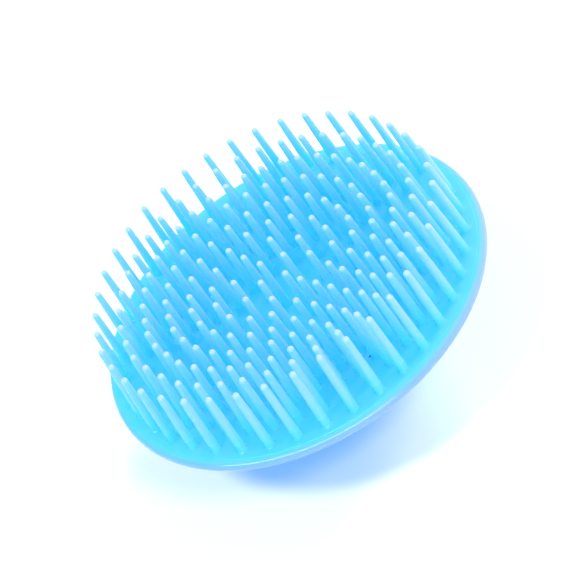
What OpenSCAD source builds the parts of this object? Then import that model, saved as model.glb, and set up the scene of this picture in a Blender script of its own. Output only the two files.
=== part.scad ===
// Round scalp massager brush: a dished plate with a rounded rim bead and rings of slim bristles,
// backed by a thin shell, on a waisted finger grip with a flat foot.
// Origin: centre of the flat foot. +Z points along the bristles.

/* [Disc] */
// Diameter over the rounded rim bead
rim_d = 88.5; // [80:0.5:100]
// Diameter of the rim bead's round section
bead_d = 2.3; // [1.8:0.1:2.8]
// Height of the rim bead's centre above the foot
rim_height = 22.4; // [21:0.2:30]
// Diameter of the dished part of the face
dish_d = 82; // [76:1:84]
// Depth of the dish at its centre
dish_depth = 4.8; // [3:0.2:5.4]
// Thickness of the bristle plate
plate_t = 1.4; // [1:0.1:1.6]
// Thickness of the back shell
shell_t = 1.2; // [1:0.1:1.4]

/* [Bristles] */
// Radius of the innermost ring, at the bristle tips
first_ring_r = 4; // [3.5:0.25:4.5]
// Distance from one ring to the next, at the bristle tips
ring_pitch = 5; // [4.5:0.1:5]
// Bristles on each full outer ring
outer_count = 40; // [24:4:44]
// Diameter of a bristle at its round tip
tip_d = 1.45; // [1:0.05:1.8]
// Diameter of a bristle where it meets the plate
root_d = 2.1; // [1.8:0.1:2.4]
// Height of the outermost tips' round centres above the rim bead's centre
tip_height = 15.85; // [10:0.05:20]
// How much lower the middle tips stand than the outermost ones
tip_dish_depth = 6.1; // [3:0.1:7]
// Inward lean of the outermost bristles, in degrees
outer_lean = 4; // [0:0.5:5]

/* [Grip] */
// Largest diameter of the grip's knob
knob_d = 27; // [26:0.5:30]
// Radius of the knob's rounded side
knob_round = 5; // [4.5:0.1:5.2]
// Diameter of the grip's waist
waist_d = 15; // [14:0.5:16]
// Radius of the hollow round the waist
scoop_r = 3; // [2.6:0.1:3]
// Diameter of the flange under the back shell
flange_d = 26; // [24:1:30]

/* [Fixings] */
// Number of heat stakes
stake_count = 6; // [3:1:12]
// Distance of the heat stakes from the centre
stake_ring_r = 26; // [20:1:32]
// Diameter of a heat stake's shank
stake_d = 3; // [2:0.5:4]
// Diameter of a heat stake's formed head
stake_head_d = 5; // [4.5:0.5:6]
// Thickness of a heat stake's head at its middle
stake_head_t = 0.9; // [0.6:0.1:1.2]
// Diameter of the grip screw's shank
screw_d = 2.8; // [2:0.2:3.2]
// Diameter of the grip screw's head
screw_head_d = 5.6; // [5:0.2:6]

/* [Hidden] */
$fn = 96;
fine = 1440;            // facets of the large dish circles
big = 200;              // longer than anything that is cut
ring_count = 8;
inner_count = 4;        // bristles on the innermost ring
count_step = 8;         // bristles that each ring gains on the one inside it
root_trim = 0.5;        // how far a bristle's cone runs on past the face before it is cut

rim_r = rim_d / 2;
bead_r = bead_d / 2;
bead_ring_r = rim_r - bead_r;
land_gap = 0.4;         // from the land's edge to the bead's centre line: the crease between them
shell_gap = 1;          // from the shell's edge to the bead's centre line
plate_edge_r = bead_ring_r - land_gap;
shell_edge_r = bead_ring_r - shell_gap;
face_z = rim_height + bead_r;

// A shallow dish is part of a sphere: its radius follows from its depth at the middle
function dish_radius(edge_r, depth) = (edge_r * edge_r + depth * depth) / (2 * depth);
face_r = dish_radius(dish_d / 2, dish_depth);
dish_centre_z = face_z - dish_depth + face_r;
plate_under_r = face_r + plate_t;
shell_under_r = plate_under_r + shell_t;
plate_under_z = dish_centre_z - plate_under_r;

// Bristle rings, counted from 0 at the middle
last_ring_r = first_ring_r + (ring_count - 1) * ring_pitch;
tip_sphere_r = dish_radius(last_ring_r, tip_dish_depth);
tip_centre_z = rim_height + tip_height - tip_dish_depth + tip_sphere_r;
function ring_r(ring) = first_ring_r + ring * ring_pitch;
function ring_bristles(ring) = ring == 0 ? inner_count : min(outer_count, count_step * ring);
function ring_tip_z(ring) = tip_centre_z - sqrt(pow(tip_sphere_r, 2) - pow(ring_r(ring), 2));
function ring_lean(ring) = outer_lean * ring_r(ring) / last_ring_r;
function face_z_at(r) = dish_centre_z - sqrt(face_r * face_r - r * r);
function root_r(ring) = ring_r(ring) + (ring_tip_z(ring) - face_z_at(ring_r(ring))) * tan(ring_lean(ring));
function face_slope(ring) = asin(root_r(ring) / face_r);
function bristle_length(ring) = (ring_tip_z(ring) - face_z_at(root_r(ring))) / cos(ring_lean(ring));

// Grip, a figure of revolution: the waist's hollow is tangent to the knob's round side
knob_r = knob_d / 2;
knob_centre_r = knob_r - knob_round;
scoop_centre_r = waist_d / 2 + scoop_r;
waist_z = knob_round + sqrt(pow(knob_round + scoop_r, 2) - pow(scoop_centre_r - knob_centre_r, 2));
knob_tangent_r = knob_centre_r + knob_round * (scoop_centre_r - knob_centre_r) / (knob_round + scoop_r);
flange_z = waist_z + scoop_r;

// Heat stakes: a low dome formed over the shell
stake_z = dish_centre_z - sqrt(pow(shell_under_r, 2) - pow(stake_ring_r, 2)) - stake_head_t;
stake_dome_r = dish_radius(stake_head_d / 2, stake_head_t);
stake_top = 5;          // a stake's height before its top is cut to the plate's underside

// Inside of the grip, from the foot up: cap, open bore, web, boss of the plate
cap_r = 7;
cap_t = 1.6;
bore_r = 5.5;
web_z = 9.6;
boss_r = 4.5;
boss_z = 12;
pilot_h = 5.6;          // depth of the screw's hole in the boss
flange_h = 3;           // the flange's height before its top is cut to the shell's underside
screw_clearance = 0.2;
screw_head_t = 1.8;
screw_tip_z = 16.2;
screw_tip_h = 0.8;
slot_w = 0.8;
slot_depth = 1;

face_colour = [0.35, 0.80, 1.0];
bristle_colour = [0.60, 0.88, 1.0];
back_colour = [0.42, 0.80, 0.98];
steel_colour = [0.75, 0.77, 0.80];

// Half section of everything inside the sphere of the given radius about the dish's centre
module dish_section(radius) {
    intersection() {
        translate([0, dish_centre_z]) circle(r = radius, $fn = fine);
        square([rim_d, dish_centre_z]);
    }
}

// Half section of the rim bead
module bead_section() {
    translate([bead_ring_r, rim_height]) circle(r = bead_r);
}

// The dish's section as a solid, to trim round pieces that meet a dished surface
module dish_solid(radius) {
    rotate_extrude($fn = 2 * $fn) dish_section(radius);
}

module bristle_plate() {
    color(face_colour) difference() {
        union() {
            rotate_extrude() difference() {
                union() {
                    intersection() {
                        dish_section(plate_under_r);
                        square([plate_edge_r, face_z]);
                    }
                    bead_section();
                }
                dish_section(face_r);
            }
            difference() {
                translate([0, 0, boss_z]) cylinder(r = boss_r, h = plate_under_z + plate_t / 2 - boss_z);
                dish_solid(face_r);
            }
        }
        translate([0, 0, boss_z - 1]) cylinder(d = screw_d, h = pilot_h + 1);
    }
}

// One bristle, its round tip's centre at the origin and its shaft along -Z, cut off where it
// meets the face, which slopes up towards +X
module bristle(length, slope) {
    difference() {
        union() {
            sphere(d = tip_d, $fn = 32);
            translate([0, 0, -length - root_trim])
                cylinder(d1 = root_d, d2 = tip_d, h = length + root_trim, $fn = 32);
        }
        translate([0, 0, -length])
            rotate([0, -slope, 0])
                translate([-root_d, -root_d, -2 * root_trim])
                    cube([2 * root_d, 2 * root_d, 2 * root_trim]);
    }
}

module bristle_ring(ring) {
    count = ring_bristles(ring);
    color(bristle_colour)
        for (i = [0 : count - 1])
            rotate([0, 0, 360 * i / count])
                translate([ring_r(ring), 0, ring_tip_z(ring)])
                    rotate([0, -ring_lean(ring), 0])
                        bristle(bristle_length(ring), face_slope(ring) - ring_lean(ring));
}

// Thin shell under the plate, its edge fitted to the inside of the bead
module back_shell() {
    color(back_colour) difference() {
        rotate_extrude() difference() {
            intersection() {
                dish_section(shell_under_r);
                square([shell_edge_r, face_z]);
            }
            dish_section(plate_under_r);
            bead_section();
        }
        translate([0, 0, boss_z]) cylinder(r = boss_r, h = big);
        at_stakes() cylinder(d = stake_d, h = big);
    }
}

// Places its child at the foot of every heat stake
module at_stakes() {
    for (i = [0 : stake_count - 1])
        rotate([0, 0, 360 * (i + 0.5) / stake_count])
            translate([stake_ring_r, 0, 0])
                children();
}

module heat_stakes() {
    color(face_colour) {
        difference() {
            at_stakes() translate([0, 0, stake_z + stake_head_t / 2]) cylinder(d = stake_d, h = stake_top);
            dish_solid(plate_under_r);
        }
        difference() {
            at_stakes() translate([0, 0, stake_z]) stake_head();
            dish_solid(shell_under_r);
        }
    }
}

// Formed head, its lowest point at the origin
module stake_head() {
    intersection() {
        translate([0, 0, stake_dome_r]) sphere(r = stake_dome_r);
        cylinder(d = stake_head_d, h = 2 * stake_head_t);
    }
}

module grip_section() {
    square([knob_centre_r, 2 * knob_round]);
    translate([knob_centre_r, knob_round]) circle(r = knob_round);
    difference() {
        union() {
            square([knob_tangent_r, waist_z]);
            translate([0, waist_z]) square([scoop_centre_r, scoop_r]);
        }
        translate([scoop_centre_r, waist_z]) circle(r = scoop_r);
    }
    translate([0, flange_z]) square([flange_d / 2, flange_h]);
}

module grip_body() {
    color(back_colour) difference() {
        rotate_extrude() difference() {
            intersection() {
                grip_section();
                square(big);
            }
            dish_section(shell_under_r);
        }
        translate([0, 0, -1]) cylinder(r = cap_r, h = cap_t + 1);
        cylinder(r = bore_r, h = web_z);
        cylinder(d = screw_d + 2 * screw_clearance, h = boss_z);
        translate([0, 0, boss_z]) cylinder(r = boss_r, h = big);
    }
}

module grip_screw() {
    color(steel_colour) difference() {
        union() {
            translate([0, 0, web_z - screw_head_t]) cylinder(d = screw_head_d, h = screw_head_t);
            translate([0, 0, web_z]) cylinder(d = screw_d, h = screw_tip_z - screw_tip_h - web_z);
            translate([0, 0, screw_tip_z - screw_tip_h])
                cylinder(d1 = screw_d, d2 = screw_d / 2, h = screw_tip_h);
        }
        for (a = [0, 90])
            rotate([0, 0, a])
                translate([-screw_head_d / 3, -slot_w / 2, web_z - screw_head_t - 1])
                    cube([screw_head_d / 1.5, slot_w, slot_depth + 1]);
    }
}

module foot_cap() {
    color(back_colour) cylinder(r = cap_r, h = cap_t);
}

bristle_plate();
bristle_ring(0);  // bristle_ring_1
bristle_ring(1);  // bristle_ring_2
bristle_ring(2);  // bristle_ring_3
bristle_ring(3);  // bristle_ring_4
bristle_ring(4);  // bristle_ring_5
bristle_ring(5);  // bristle_ring_6
bristle_ring(6);  // bristle_ring_7
bristle_ring(7);  // bristle_ring_8
back_shell();
heat_stakes();
grip_body();
grip_screw();
foot_cap();
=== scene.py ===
import math
import random

import bmesh
import bpy
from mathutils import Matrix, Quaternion, Vector
from mathutils.geometry import delaunay_2d_cdt


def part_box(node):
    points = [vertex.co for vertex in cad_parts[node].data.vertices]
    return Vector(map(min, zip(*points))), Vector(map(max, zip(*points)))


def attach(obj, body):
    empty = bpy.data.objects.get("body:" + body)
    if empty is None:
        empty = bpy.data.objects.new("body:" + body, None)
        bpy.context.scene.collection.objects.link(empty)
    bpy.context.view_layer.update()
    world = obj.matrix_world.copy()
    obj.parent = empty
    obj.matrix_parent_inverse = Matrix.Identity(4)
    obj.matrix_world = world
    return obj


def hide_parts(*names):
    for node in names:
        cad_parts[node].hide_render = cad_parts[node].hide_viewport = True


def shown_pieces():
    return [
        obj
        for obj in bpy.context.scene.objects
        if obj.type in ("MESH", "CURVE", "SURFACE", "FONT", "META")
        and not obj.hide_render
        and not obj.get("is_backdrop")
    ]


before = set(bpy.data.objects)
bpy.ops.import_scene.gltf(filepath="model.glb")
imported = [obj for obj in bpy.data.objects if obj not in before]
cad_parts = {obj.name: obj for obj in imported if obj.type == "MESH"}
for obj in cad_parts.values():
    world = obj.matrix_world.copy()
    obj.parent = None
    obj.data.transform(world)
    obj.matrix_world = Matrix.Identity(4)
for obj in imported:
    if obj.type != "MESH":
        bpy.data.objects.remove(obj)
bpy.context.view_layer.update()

# A scalp massager brush: a dished plate full of bristles, a thin shell under it and a finger grip.
# The plate and its bristles are one closed skin. The brush stands on the grip's foot, at height 0.
scene = bpy.context.scene
MM = 0.001
TINY = 1e-7                  # a shorter length counts as nothing
CLOSEST = 1e-9               # flat points that are nearer than this are one

# ---------------------------------------------------------------- sizes, in metres
# Disc: a dished plate whose edge is a round bead, backed by a thin shell
PLATE_T = 1.4 * MM
SHELL_T = 1.2 * MM
DISH_R = 41 * MM
DISH_DEPTH = 4.8 * MM
BEAD_R = 1.15 * MM
LAND_BLEND = 0.25 * MM       # how softly the dish runs out into the flat land round it
LAND_GAP = 0.4 * MM          # from the land's edge to the bead's centre line
CREASE = 0.15 * MM           # radius of the land's edge, which leaves a fine crease at the bead
CREASE_DEG = (80, 35)        # that edge turns down from nearly level to steep
LAND_DEG = 108               # the bead's arc runs from the land over the rim to the plate's underside
UNDER_DEG = -177
SHELL_EDGE_ROUND = 0.2 * MM
BOSS_R = 4.5 * MM
PILOT_R = 1.4 * MM
PILOT_TOP = 17.6 * MM

face_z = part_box("bristle_plate")[1].z
boss_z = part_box("bristle_plate")[0].z
bead_ring_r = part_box("bristle_plate")[1].x - BEAD_R
bead_z = face_z - BEAD_R
plate_edge_r = bead_ring_r - LAND_GAP
shell_edge_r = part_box("back_shell")[1].x

# Bristles: rings of tapered pins with round tips, leaning inward more and more towards the rim
RING_COUNT = 8
FIRST_RING_R = 4 * MM
RING_PITCH = 5 * MM
INNER_COUNT = 4
COUNT_STEP = 8
OUTER_COUNT = 40
TIP_R = 0.725 * MM
ROOT_R = 1.05 * MM
ROOT_FILLET = 0.55 * MM
OUTER_LEAN = math.radians(4)
STRAY = 0.12 * MM            # spread of the tips about their true places, from moulding and use
STRAY_SEED = 8

# A speck of dark pigment in the face, at the foot of one bristle
SPECK_SPOT = Vector((-5.24, -27.34, 20.95)) * MM
SPECK_R = 0.3 * MM

# Grip: a knob, a waist and a flange turned in one piece round an open bore
KNOB_ROUND = 5 * MM
KNOB_PAST_CAP = 1.5 * MM     # from the foot cap's edge to the centre line of the knob's round side
FLANGE_ROUND = 0.3 * MM
SCOOP_R = 3 * MM
WAIST_R = 7.5 * MM
CAP_R = 7 * MM
BORE_R = 5.5 * MM
SCREW_HOLE_R = 1.6 * MM
WEB_Z = 9.6 * MM
CAP_ROUND = 0.25 * MM
DIMPLE_R = 1.2 * MM          # a shallow mark in the middle of the foot cap, left by the moulding
DIMPLE_FLOOR_R = DIMPLE_R * 0.6
DIMPLE_DEPTH = 0.2 * MM

# Heat stakes, on a ring round the grip
STAKE_COUNT = 6
STAKE_RING_R = 26 * MM
STAKE_R = 1.5 * MM
STAKE_HEAD_R = 2.5 * MM
STAKE_HEAD_T = 0.9 * MM

# How finely the meshes are cut
BRISTLE_SIDES = 20
FILLET_STEPS = 5
SHAFT_STEPS = 7
TIP_STEPS = 4
FOLLOW_HEIGHT = 3            # a bristle's foot follows the dish up to this many fillet heights
FACE_SPACING = 1.3 * MM
FOOT_CLEAR = 0.45 * MM       # how far the face's own points keep from the bristles' feet
EDGE_CLEAR = 0.4 * MM        # and from the land's edge
INSIDE_FOOT = 0.97           # a triangle centred within this share of a foot's radius is inside it
HULL_TRIANGLES = 0           # delaunay_2d_cdt's kind of result: triangles over the whole outline
RIM_SIDES = 240
CREASE_STEPS = 3
BEAD_STEPS = 40
PLATE_STEPS = 40
SHELL_SIDES = 288
SHELL_STEPS = 50
SHELL_FLANK_STEPS = 6
SHELL_EDGE_STEPS = 4
GRIP_SIDES = 160
KNOB_STEPS = 40
SCOOP_STEPS = 32
FLANGE_STEPS = 12
ROUND_STEPS = 5              # in the small rounded edges of the flange and the foot cap
CAP_SIDES = 120
STAKE_SIDES = 40
STAKE_DOME_STEPS = 8

# Colours, linear red, green and blue. The plastic's are the scattered light's, so they are
# stronger than the brush looks.
FACE_DEEP = (0.18, 0.93, 1.0)
FACE_PALE = (0.22, 0.96, 1.0)
# Painted light: the bead is coloured paler than the face, for light shining through the thin bead
# from behind.
BEAD_PAINTED_GLOW = (0.4, 0.69, 1.0)
# Painted light and shade: the shafts grow paler towards painted-light tips, and the deep face colour
# at their feet is painted shade.
SHAFT_PAINTED_LIGHT = (0.39, 0.87, 1.0)
TIP_PAINTED_LIGHT = (0.62, 1.0, 1.0)
BACK_DEEP = (0.24, 0.86, 0.99)
BACK_PALE = (0.28, 0.89, 0.99)
SPECK_COLOUR = (0.002, 0.06, 0.4)
STEEL_COLOUR = (0.62, 0.63, 0.65)
FLOOR_COLOUR = (0.7, 0.68, 0.78)
FLOOR_GLOW = (0.03, 0.02, 0.15)


def dish_radius(rim, depth):
    """Radius of the sphere that a shallow dish of this rim radius and depth is part of."""
    return (rim * rim + depth * depth) / (2 * depth)


face_sphere_r = dish_radius(DISH_R, DISH_DEPTH)
dish_centre_z = face_z - DISH_DEPTH + face_sphere_r
plate_sphere_r = face_sphere_r + PLATE_T
shell_sphere_r = plate_sphere_r + SHELL_T


def dish_z(radius, sphere_r):
    """Height of a dished surface at a distance from the axis."""
    return dish_centre_z - math.sqrt(sphere_r * sphere_r - radius * radius)


def top_z(radius):
    """Height of the plate's face: the dish, running out softly into the flat land."""
    depth = face_z - dish_z(radius, face_sphere_r)
    return face_z - (depth + math.hypot(depth, LAND_BLEND)) / 2


# ---------------------------------------------------------------- node helpers
def node_of(tree, kind, **settings):
    """A new node of this kind, with its settings."""
    node = tree.nodes.new(kind)
    for key, value in settings.items():
        setattr(node, key, value)
    return node


def blend_colour(tree, factor, low, high):
    """A mix of two colours; each is a socket or an (r, g, b) tuple."""
    mix = node_of(tree, "ShaderNodeMix", data_type="RGBA")
    tree.links.new(factor, mix.inputs["Factor"])
    for socket, value in ((mix.inputs["A"], low), (mix.inputs["B"], high)):
        if isinstance(value, tuple):
            socket.default_value = (*value, 1)
        else:
            tree.links.new(value, socket)
    return mix.outputs["Result"]


def noise(tree, coords, size, detail=2.0):
    """A noise whose cells are about size metres across; nearly all its values are 0.3 to 0.7."""
    texture = node_of(tree, "ShaderNodeTexNoise")
    texture.inputs["Scale"].default_value = 1 / size
    texture.inputs["Detail"].default_value = detail
    tree.links.new(coords, texture.inputs["Vector"])
    return texture.outputs["Fac"]


def ramp(tree, factor, low, high, low_value=0.0, high_value=1.0):
    """factor from low to high, mapped to low_value to high_value, held at both ends."""
    node = node_of(tree, "ShaderNodeMapRange")
    node.inputs["From Min"].default_value = low
    node.inputs["From Max"].default_value = high
    node.inputs["To Min"].default_value = low_value
    node.inputs["To Max"].default_value = high_value
    tree.links.new(factor, node.inputs["Value"])
    return node.outputs["Result"]


# ---------------------------------------------------------------- camera, floor and light
VIEW_AZIMUTH = math.radians(-23.47)
VIEW_ELEVATION = math.radians(39.05)
VIEW_ROLL = math.radians(34.99)
VIEW_DISTANCE = 461.3 * MM
VIEW_TARGET = Vector((1.52, 2.39, 23.45)) * MM
LENS = 135.9

FLOOR_SIZE = 3.0
STRIP_LENGTH = 1.6
STRIP_HEIGHT = 0.18
STRIP_DISTANCE = 1.0
SKY_BLEND = 0.3              # the world's two colours meet over this height, either side of level


def direction(azimuth, elevation):
    """Unit vector towards a viewer or a light; azimuth 0 stands at -Y."""
    return Vector((
        math.sin(azimuth) * math.cos(elevation),
        -math.cos(azimuth) * math.cos(elevation),
        math.sin(elevation),
    ))


def add_camera():
    """The photo's camera: far off, rolled, and looking down at the bristles."""
    data = bpy.data.cameras.new("camera")
    data.lens = LENS
    data.clip_start = 10 * MM
    data.clip_end = 20
    camera = bpy.data.objects.new("camera", data)
    back = direction(VIEW_AZIMUTH, VIEW_ELEVATION)
    camera.location = VIEW_TARGET + VIEW_DISTANCE * back
    level = (-back).to_track_quat("-Z", "Y")
    camera.rotation_mode = "QUATERNION"
    camera.rotation_quaternion = level @ Quaternion((0, 0, 1), -VIEW_ROLL)
    scene.collection.objects.link(camera)
    scene.camera = camera


def add_sun(name, towards, strength, colour, soft_deg):
    """A far light that stands in the direction towards and looks soft_deg degrees wide."""
    data = bpy.data.lights.new(name, "SUN")
    data.energy = strength
    data.color = colour
    data.angle = math.radians(soft_deg)
    light = bpy.data.objects.new(name, data)
    light.rotation_mode = "QUATERNION"
    light.rotation_quaternion = Vector(towards).to_track_quat("Z", "Y")
    scene.collection.objects.link(light)
    return light


def add_strip(name, azimuth, elevation, power, colour):
    """A long low softbox that shows as a highlight and adds nothing to the body colour."""
    data = bpy.data.lights.new(name, "AREA")
    data.shape = "RECTANGLE"
    data.size = STRIP_LENGTH
    data.size_y = STRIP_HEIGHT
    data.energy = power
    data.color = colour
    light = bpy.data.objects.new(name, data)
    towards = direction(azimuth, elevation)
    light.location = VIEW_TARGET + STRIP_DISTANCE * towards
    light.rotation_mode = "QUATERNION"
    light.rotation_quaternion = towards.to_track_quat("Z", "Y")
    light.visible_diffuse = False
    scene.collection.objects.link(light)
    return light


def add_floor():
    """A plain pale floor at the foot. The brush's gloss shows it, but it lends no soft light."""
    mesh = bpy.data.meshes.new("floor")
    half = FLOOR_SIZE / 2
    corners = [(-half, -half, 0), (half, -half, 0), (half, half, 0), (-half, half, 0)]
    mesh.from_pydata(corners, [], [(0, 1, 2, 3)])
    floor = bpy.data.objects.new("floor", mesh)
    material = bpy.data.materials.new("floor_white")
    material.use_nodes = True
    shader = material.node_tree.nodes["Principled BSDF"]
    shader.inputs["Base Color"].default_value = (*FLOOR_COLOUR, 1)
    shader.inputs["Roughness"].default_value = 1.0
    shader.inputs["Specular IOR Level"].default_value = 0.0
    shader.inputs["Emission Color"].default_value = (*FLOOR_GLOW, 1)
    shader.inputs["Emission Strength"].default_value = 1.0
    mesh.materials.append(material)
    scene.collection.objects.link(floor)
    floor.visible_diffuse = False
    floor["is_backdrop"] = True
    return floor


def set_world(below, above):
    """Soft light from all round, of one colour from above and another from below the horizon."""
    world = bpy.data.worlds.new("studio")
    world.use_nodes = True
    tree = world.node_tree
    background = tree.nodes["Background"]
    background.inputs["Strength"].default_value = 1.0
    towards = node_of(tree, "ShaderNodeTexCoord").outputs["Generated"]
    parts = node_of(tree, "ShaderNodeSeparateXYZ")
    tree.links.new(towards, parts.inputs["Vector"])
    height = ramp(tree, parts.outputs["Z"], -SKY_BLEND, SKY_BLEND)
    tree.links.new(blend_colour(tree, height, below, above), background.inputs["Color"])
    scene.world = world


def lights_only(light, objects):
    """The light falls on these objects alone; everything still casts its shadow."""
    group = bpy.data.collections.new(light.name + "_receivers")
    for receiver in objects:
        group.objects.link(receiver)
    light.light_linking.receiver_collection = group


# The photo is bright and bluish, and its brush and its floor don't look lit by one light, so each
# has suns of its own. The brush's are reddish, against the blue from above, and stay out of
# reflections, where their tint would show from other sides. The strip draws the pale line along
# the lower rim. The floor's make its shadow blue.
scene.view_settings.view_transform = "Standard"
add_camera()
floor = add_floor()
set_world((0.62, 0.7, 1.0), (0.45, 0.87, 1.5))
brush_suns = [
    add_sun("brush_back", (0.0, 0.917, -0.4), 2.4, (1.0, 0.25, 0.1), 30),
    add_sun("brush_key", (0.8, 0.0, 0.6), 1.65, (1.0, 0.12, 0.2), 30),
    add_sun("brush_fill", (0.1, -0.9, 0.3), 0.8, (1.0, 0.1, 0.5), 25),
]
for sun in brush_suns:
    sun.visible_glossy = False
brush_strip = add_strip("brush_strip", math.radians(-60), math.radians(49), 17.0, (0.8, 1.0, 0.6))
floor_suns = [
    add_sun("floor_key_1", (0.0, -1.0, 1.0), 1.4, (1.0, 0.9, 0.3), 12),
    add_sun("floor_key_2", (-0.5, 0.0, 1.0), 2.4, (1.0, 0.9, 0.3), 12),
    add_sun("floor_fill_1", (1.74, -0.4, 1.0), 2.3, (1.0, 0.8, 0.3), 12),
    add_sun("floor_fill_2", (1.74, 0.5, 1.0), 3.4, (0.62, 1.0, 0.6), 12),
]


# ---------------------------------------------------------------- mesh helpers
def add_piece(name, bm, sharp_deg=35):
    """Turns a bmesh into a smooth-shaded object that rides on the brush."""
    bmesh.ops.recalc_face_normals(bm, faces=bm.faces)
    mesh = bpy.data.meshes.new(name)
    bm.to_mesh(mesh)
    bm.free()
    mesh.shade_smooth()
    mesh.set_sharp_from_angle(angle=math.radians(sharp_deg))
    piece = bpy.data.objects.new(name, mesh)
    scene.collection.objects.link(piece)
    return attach(piece, "root")


def arc(centre_r, centre_z, radius, start_deg, end_deg, steps):
    """Points of (distance from the axis, height) along an arc, both ends included."""
    points = []
    for i in range(steps + 1):
        angle = math.radians(start_deg + (end_deg - start_deg) * i / steps)
        points.append((centre_r + radius * math.cos(angle), centre_z + radius * math.sin(angle)))
    return points


def spread(start, end, steps):
    """Evenly spaced values from start to end, both included."""
    return [start + (end - start) * i / steps for i in range(steps + 1)]


def bridge(bm, lower, upper):
    """Faces between two rings of vertices; a ring of one vertex is a pole on the axis."""
    count = max(len(lower), len(upper))
    for i in range(count):
        j = (i + 1) % count
        if len(lower) == 1:
            bm.faces.new((lower[0], upper[i], upper[j]))
        elif len(upper) == 1:
            bm.faces.new((lower[i], lower[j], upper[0]))
        else:
            bm.faces.new((lower[i], lower[j], upper[j], upper[i]))


def circle_of(bm, radius, height, steps, centre=(0, 0)):
    """A level ring of vertices, or a single one on the axis."""
    if radius < TINY:
        return [bm.verts.new((*centre, height))]
    ring = []
    for i in range(steps):
        angle = 2 * math.pi * i / steps
        x = centre[0] + radius * math.cos(angle)
        y = centre[1] + radius * math.sin(angle)
        ring.append(bm.verts.new((x, y, height)))
    return ring


def lathe(bm, outline, steps, closed=False, centre=(0, 0), first=None):
    """A surface of revolution from its half outline, which may go on from a ring that exists."""
    rings = [first] if first else []
    rings += [circle_of(bm, radius, height, steps, centre) for radius, height in outline]
    for lower, upper in zip(rings, rings[1:]):
        bridge(bm, lower, upper)
    if closed:
        bridge(bm, rings[-1], rings[0])


# ---------------------------------------------------------------- plate and bristles, one moulding
def ring_radius(ring):
    """Distance of a ring's tips from the axis; ring 0 is the innermost."""
    return FIRST_RING_R + ring * RING_PITCH


def ring_bristles(ring):
    """How many bristles stand on a ring."""
    return INNER_COUNT if ring == 0 else min(OUTER_COUNT, COUNT_STEP * ring)


def smooth_step(value):
    """0 to 1 with level ends, for a value from 0 to 1."""
    value = min(max(value, 0), 1)
    return value * value * (3 - 2 * value)


def all_bristles():
    """Every bristle: its root, its sideways run per unit of height, its round tip's centre height."""
    chance = random.Random(STRAY_SEED)
    found = []
    for ring in range(RING_COUNT):
        tip_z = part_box(f"bristle_ring_{ring + 1}")[1].z - TIP_R
        tip_r = ring_radius(ring)
        lean = OUTER_LEAN * tip_r / ring_radius(RING_COUNT - 1)
        length = tip_z - dish_z(tip_r, face_sphere_r)
        root_r = tip_r + length * math.tan(lean)
        for i in range(ring_bristles(ring)):
            angle = 2 * math.pi * i / ring_bristles(ring)
            outward = Vector((math.cos(angle), math.sin(angle)))
            stray = Vector((chance.gauss(0, STRAY), chance.gauss(0, STRAY))) / length
            run = stray - outward * math.tan(lean)
            found.append({"root": outward * root_r, "run": run, "tip_z": tip_z})
    return found


def bristle_profile(length):
    """Points of (radius, height above the face) from the fillet's outer edge up to the tip."""
    points = []
    for i in range(FILLET_STEPS + 1):
        angle = math.pi / 2 * i / FILLET_STEPS
        flare = ROOT_FILLET * (1 - math.sin(angle))
        points.append((ROOT_R + flare, ROOT_FILLET * (1 - math.cos(angle))))
    for height in spread(ROOT_FILLET, length, SHAFT_STEPS)[1:-1]:
        points.append((ROOT_R + (TIP_R - ROOT_R) * height / length, height))
    for i in range(TIP_STEPS):
        angle = math.pi / 2 * i / TIP_STEPS
        points.append((TIP_R * math.cos(angle), length + TIP_R * math.sin(angle)))
    points.append((0, length + TIP_R))
    return points


def bristle_rings(bm, bristle, along):
    """The rings of one bristle's vertices: its foot follows the dish and its axis leans.

    The layer along is set to run from 0 at the face to 1 at the tip.
    """
    root = bristle["root"]
    root_z = top_z(root.length)
    length = bristle["tip_z"] - root_z
    rings = []
    for radius, height in bristle_profile(length):
        centre = root + height * bristle["run"]
        follow = 1 - smooth_step(height / (FOLLOW_HEIGHT * ROOT_FILLET))
        ring = []
        for i in range(BRISTLE_SIDES if radius > 0 else 1):
            angle = 2 * math.pi * i / BRISTLE_SIDES
            spot = centre + radius * Vector((math.cos(angle), math.sin(angle)))
            face_here = top_z(min(spot.length, plate_edge_r))
            vert = bm.verts.new((*spot, root_z + follow * (face_here - root_z) + height))
            vert[along] = height / (length + TIP_R)
            ring.append(vert)
        rings.append(ring)
    return rings


def face_points(roots, edge):
    """Points spread evenly over the plate's face, clear of the bristles' feet."""
    clear = ROOT_R + ROOT_FILLET + FOOT_CLEAR
    points = []
    for radius in spread(0, edge - EDGE_CLEAR, round(edge / FACE_SPACING)):
        count = max(1, round(2 * math.pi * radius / FACE_SPACING))
        for i in range(count):
            angle = 2 * math.pi * i / count
            spot = Vector((radius * math.cos(angle), radius * math.sin(angle)))
            if all((spot - root).length > clear for root in roots):
                points.append(spot)
    return points


def fill_face(bm, roots, feet, rim, edge_r):
    """Triangles of the plate's face, between the bristles' feet and out to the rim."""
    verts = [vert for foot in feet for vert in foot] + rim
    limits = []
    start = 0
    for loop in feet + [rim]:
        limits += [(start + i, start + (i + 1) % len(loop)) for i in range(len(loop))]
        start += len(loop)
    verts += [bm.verts.new((*spot, top_z(spot.length))) for spot in face_points(roots, edge_r)]

    flat = [vert.co.xy for vert in verts]
    _, _, triangles, came_from, _, _ = delaunay_2d_cdt(flat, limits, [], HULL_TRIANGLES, CLOSEST)
    inside_r = (ROOT_R + ROOT_FILLET) * INSIDE_FOOT
    for triangle in triangles:
        corners = [verts[came_from[i][0]] for i in triangle]
        middle = sum((vert.co.xy for vert in corners), Vector((0, 0))) / 3
        if all((middle - root).length > inside_r for root in roots):
            bm.faces.new(corners)


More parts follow.
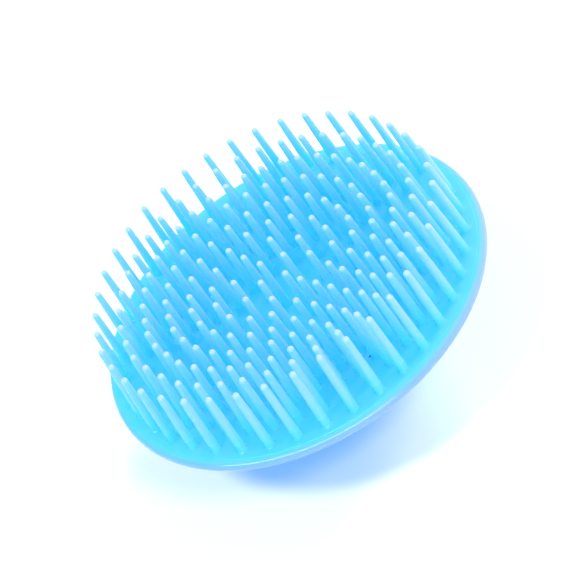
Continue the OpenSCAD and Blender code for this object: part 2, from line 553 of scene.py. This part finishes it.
def moulding_outline(edge_r):
    """Points from the land's edge over the bead and back under the plate to the axis."""
    points = arc(edge_r, face_z - CREASE, CREASE, *CREASE_DEG, CREASE_STEPS)
    points += arc(bead_ring_r, bead_z, BEAD_R, LAND_DEG, UNDER_DEG, BEAD_STEPS)
    under = spread(bead_ring_r - BEAD_R, BOSS_R, PLATE_STEPS)
    points += [(radius, dish_z(radius, plate_sphere_r)) for radius in under]
    points += [(BOSS_R, boss_z), (PILOT_R, boss_z), (PILOT_R, PILOT_TOP), (0, PILOT_TOP)]
    return points


def make_moulding():
    """The plate with all its bristles, as one closed skin."""
    bm = bmesh.new()
    along = bm.verts.layers.float.new("along")
    bristles = all_bristles()
    feet = []
    for bristle in bristles:
        rings = bristle_rings(bm, bristle, along)
        feet.append(rings[0])
        for lower, upper in zip(rings, rings[1:]):
            bridge(bm, lower, upper)
    edge_r = plate_edge_r - CREASE
    rim = circle_of(bm, edge_r, face_z, RIM_SIDES)
    fill_face(bm, [bristle["root"] for bristle in bristles], feet, rim, edge_r)
    lathe(bm, moulding_outline(edge_r), RIM_SIDES, first=rim)
    return add_piece("bristle_moulding", bm)


# ---------------------------------------------------------------- shell, stakes and grip
def shell_outline():
    """Closed outline: out along the plate, round the bead's flank, back along the underside."""
    edge = SHELL_EDGE_ROUND
    flank_deg = -math.degrees(math.acos((shell_edge_r - bead_ring_r) / BEAD_R))
    under_z = dish_z(shell_edge_r, shell_sphere_r)
    along_plate = spread(BOSS_R, bead_ring_r - BEAD_R, SHELL_STEPS)
    inside = [(radius, dish_z(radius, plate_sphere_r)) for radius in along_plate]
    flank = arc(bead_ring_r, bead_z, BEAD_R, UNDER_DEG, flank_deg, SHELL_FLANK_STEPS)
    corner = arc(shell_edge_r - edge, under_z + edge, edge, 0, -90, SHELL_EDGE_STEPS)
    along_under = spread(shell_edge_r - 2 * edge, BOSS_R, SHELL_STEPS)
    under = [(radius, dish_z(radius, shell_sphere_r)) for radius in along_under]
    return inside + flank + corner + under


def make_shell():
    """The thin disc under the plate."""
    bm = bmesh.new()
    lathe(bm, shell_outline(), SHELL_SIDES, closed=True)
    return add_piece("back_disc", bm, sharp_deg=50)


def grip_outline():
    """Closed outline: the cap's recess, the knob, the scoop, the flange, then down the inside."""
    low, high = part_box("grip_body")
    flange_r = high.x
    knob_centre_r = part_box("foot_cap")[1].x + KNOB_PAST_CAP
    scoop_centre_r = WAIST_R + SCOOP_R
    reach = scoop_centre_r - knob_centre_r
    rise = math.sqrt((KNOB_ROUND + SCOOP_R) ** 2 - reach ** 2)
    scoop_z = KNOB_ROUND + rise
    tangent_deg = math.degrees(math.atan2(rise, reach))
    rim_z = scoop_z + SCOOP_R + FLANGE_ROUND
    points = [(CAP_R, low.z)]
    points += arc(knob_centre_r, KNOB_ROUND, KNOB_ROUND, -90, tangent_deg, KNOB_STEPS)
    points += arc(scoop_centre_r, scoop_z, SCOOP_R, tangent_deg + 180, 90, SCOOP_STEPS)[1:]
    points += arc(flange_r - FLANGE_ROUND, rim_z, FLANGE_ROUND, -90, 0, ROUND_STEPS)
    along_shell = spread(flange_r, BOSS_R, FLANGE_STEPS)
    points += [(radius, dish_z(radius, shell_sphere_r)) for radius in along_shell]
    points += [(BOSS_R, boss_z), (SCREW_HOLE_R, boss_z), (SCREW_HOLE_R, WEB_Z), (BORE_R, WEB_Z)]
    cap_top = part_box("foot_cap")[1].z
    points += [(BORE_R, cap_top), (CAP_R, cap_top)]
    return points


def make_grip():
    """The finger grip, turned in one piece."""
    bm = bmesh.new()
    lathe(bm, grip_outline(), GRIP_SIDES, closed=True)
    return add_piece("grip_knob", bm, sharp_deg=40)


def make_foot_cap():
    """The disc that closes the grip from below, with its moulding mark."""
    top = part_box("foot_cap")[1].z
    points = [(0, DIMPLE_DEPTH), (DIMPLE_FLOOR_R, DIMPLE_DEPTH), (DIMPLE_R, 0)]
    points += arc(CAP_R - CAP_ROUND, CAP_ROUND, CAP_ROUND, -90, 0, ROUND_STEPS)
    points += [(CAP_R, top), (0, top)]
    bm = bmesh.new()
    lathe(bm, points, CAP_SIDES)
    return add_piece("foot_disc", bm)


def make_stakes():
    """The stakes, whose ends are formed into low domes over the shell."""
    bm = bmesh.new()
    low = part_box("heat_stakes")[0].z
    dome_r = dish_radius(STAKE_HEAD_R, STAKE_HEAD_T)
    dome_half = math.degrees(math.asin(STAKE_HEAD_R / dome_r))
    slope = STAKE_RING_R / shell_sphere_r
    for i in range(STAKE_COUNT):
        angle = 2 * math.pi * (i + 0.5) / STAKE_COUNT
        centre = (STAKE_RING_R * math.cos(angle), STAKE_RING_R * math.sin(angle))
        seat_z = dish_z(STAKE_RING_R, shell_sphere_r) + STAKE_HEAD_R * slope
        shank_top = dish_z(STAKE_RING_R - STAKE_R, plate_sphere_r)
        outline = arc(0, low + dome_r, dome_r, -90, -90 + dome_half, STAKE_DOME_STEPS)
        outline[0] = (0, low)    # the dome's pole, exactly on its axis
        outline += [(STAKE_HEAD_R, seat_z), (STAKE_R, seat_z), (STAKE_R, shank_top), (0, shank_top)]
        lathe(bm, outline, STAKE_SIDES, centre=centre)
    return add_piece("stake_heads", bm)


# ---------------------------------------------------------------- materials
CLOUD_SIZE = 9 * MM          # the plastic's colour drifts over about this length
GLOW_DEPTH = 1.2 * MM        # how far light runs inside the plastic
GRAIN_DEPTH = 0.02 * MM


def plastic(name, deep, pale, roughness, grain_size):
    """Translucent moulded plastic: returns (material, tree, shader, object coordinates)."""
    material = bpy.data.materials.new(name)
    material.use_nodes = True
    tree = material.node_tree
    shader = tree.nodes["Principled BSDF"]
    shader.inputs["Subsurface Weight"].default_value = 1.0
    shader.inputs["Subsurface Radius"].default_value = (1.0, 1.0, 1.0)
    shader.inputs["Subsurface Scale"].default_value = GLOW_DEPTH
    shader.inputs["IOR"].default_value = 1.46
    coords = node_of(tree, "ShaderNodeTexCoord").outputs["Object"]
    cloud = ramp(tree, noise(tree, coords, CLOUD_SIZE), 0.35, 0.65)
    tree.links.new(blend_colour(tree, cloud, deep, pale), shader.inputs["Base Color"])
    grain = noise(tree, coords, grain_size, detail=3)
    low, high = roughness
    tree.links.new(ramp(tree, grain, 0.3, 0.7, low, high), shader.inputs["Roughness"])
    bump = node_of(tree, "ShaderNodeBump")
    bump.inputs["Distance"].default_value = GRAIN_DEPTH
    bump.inputs["Strength"].default_value = 0.5
    tree.links.new(grain, bump.inputs["Height"])
    tree.links.new(bump.outputs["Normal"], shader.inputs["Normal"])
    return material, tree, shader, coords


def add_speck(tree, shader, coords):
    """The dark blue speck in the plastic, fading out over its edge."""
    away = node_of(tree, "ShaderNodeVectorMath", operation="DISTANCE")
    tree.links.new(coords, away.inputs[0])
    away.inputs[1].default_value = SPECK_SPOT
    inside = ramp(tree, away.outputs["Value"], SPECK_R * 0.6, SPECK_R * 1.2, 1.0, 0.0)
    body = shader.inputs["Base Color"].links[0].from_socket
    tree.links.new(blend_colour(tree, inside, body, SPECK_COLOUR), shader.inputs["Base Color"])


def face_plastic():
    """The moulding's plastic, with painted light and shade up the bristles: deep at their feet, paler
    up the shafts, palest at the tips.
    """
    material, tree, shader, coords = plastic(
        "face_plastic", FACE_DEEP, FACE_PALE, roughness=(0.12, 0.18), grain_size=1.5 * MM)
    body = shader.inputs["Base Color"].links[0].from_socket
    flat = node_of(tree, "ShaderNodeVectorMath", operation="MULTIPLY")
    tree.links.new(coords, flat.inputs[0])
    flat.inputs[1].default_value = (1, 1, 0)
    radius = node_of(tree, "ShaderNodeVectorMath", operation="LENGTH")
    tree.links.new(flat.outputs["Vector"], radius.inputs[0])
    # Painted light: from the land's edge outwards the bead is made paler, for light coming through it
    # from behind.
    bead = ramp(tree, radius.outputs["Value"], plate_edge_r, bead_ring_r + BEAD_R)
    body = blend_colour(tree, bead, body, BEAD_PAINTED_GLOW)
    # Painted shade and light: a bristle runs from the face's deep blue at its foot, through a paler
    # shaft, to a near-white tip.
    along = node_of(tree, "ShaderNodeAttribute", attribute_name="along").outputs["Fac"]
    shaft = blend_colour(tree, ramp(tree, along, 0.02, 0.6), body, SHAFT_PAINTED_LIGHT)
    tip = blend_colour(tree, ramp(tree, along, 0.94, 0.98), shaft, TIP_PAINTED_LIGHT)
    tree.links.new(tip, shader.inputs["Base Color"])
    gloss = shader.inputs["Roughness"].links[0].from_socket
    softer = node_of(tree, "ShaderNodeMath", operation="ADD")
    tree.links.new(gloss, softer.inputs[0])
    tree.links.new(ramp(tree, along, 0.05, 0.2, 0.0, 0.2), softer.inputs[1])
    tree.links.new(softer.outputs["Value"], shader.inputs["Roughness"])
    add_speck(tree, shader, coords)
    return material


def back_plastic():
    """The shell's and the grip's plastic, of the same blue with a finer, duller grain."""
    material, *_ = plastic(
        "back_plastic", BACK_DEEP, BACK_PALE, roughness=(0.24, 0.34), grain_size=0.5 * MM)
    return material


def steel():
    """Plain steel with a fine brushed gloss."""
    material = bpy.data.materials.new("screw_steel")
    material.use_nodes = True
    tree = material.node_tree
    shader = tree.nodes["Principled BSDF"]
    shader.inputs["Base Color"].default_value = (*STEEL_COLOUR, 1)
    shader.inputs["Metallic"].default_value = 1.0
    coords = node_of(tree, "ShaderNodeTexCoord").outputs["Object"]
    brushed = noise(tree, coords, 0.2 * MM, detail=4)
    tree.links.new(ramp(tree, brushed, 0.3, 0.7, 0.25, 0.45), shader.inputs["Roughness"])
    return material


def dress(piece, material):
    """Gives a piece this material and no other."""
    piece.data.materials.clear()
    piece.data.materials.append(material)


face_material = face_plastic()
back_material = back_plastic()

moulding = make_moulding()
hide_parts("bristle_plate", *[f"bristle_ring_{i + 1}" for i in range(RING_COUNT)])
dress(moulding, face_material)

for make, node, slot_name, material in (
    (make_shell, "back_shell", "back_plastic", back_material),
    (make_stakes, "heat_stakes", "face_plastic", face_material),
    (make_grip, "grip_body", "back_plastic", back_material),
    (make_foot_cap, "foot_cap", "back_plastic", back_material),
):
    piece = make()
    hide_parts(node)
    dress(piece, material)

dress(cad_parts["grip_screw"], steel())

for light in floor_suns:
    lights_only(light, [floor])
for light in [*brush_suns, brush_strip]:
    lights_only(light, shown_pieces())
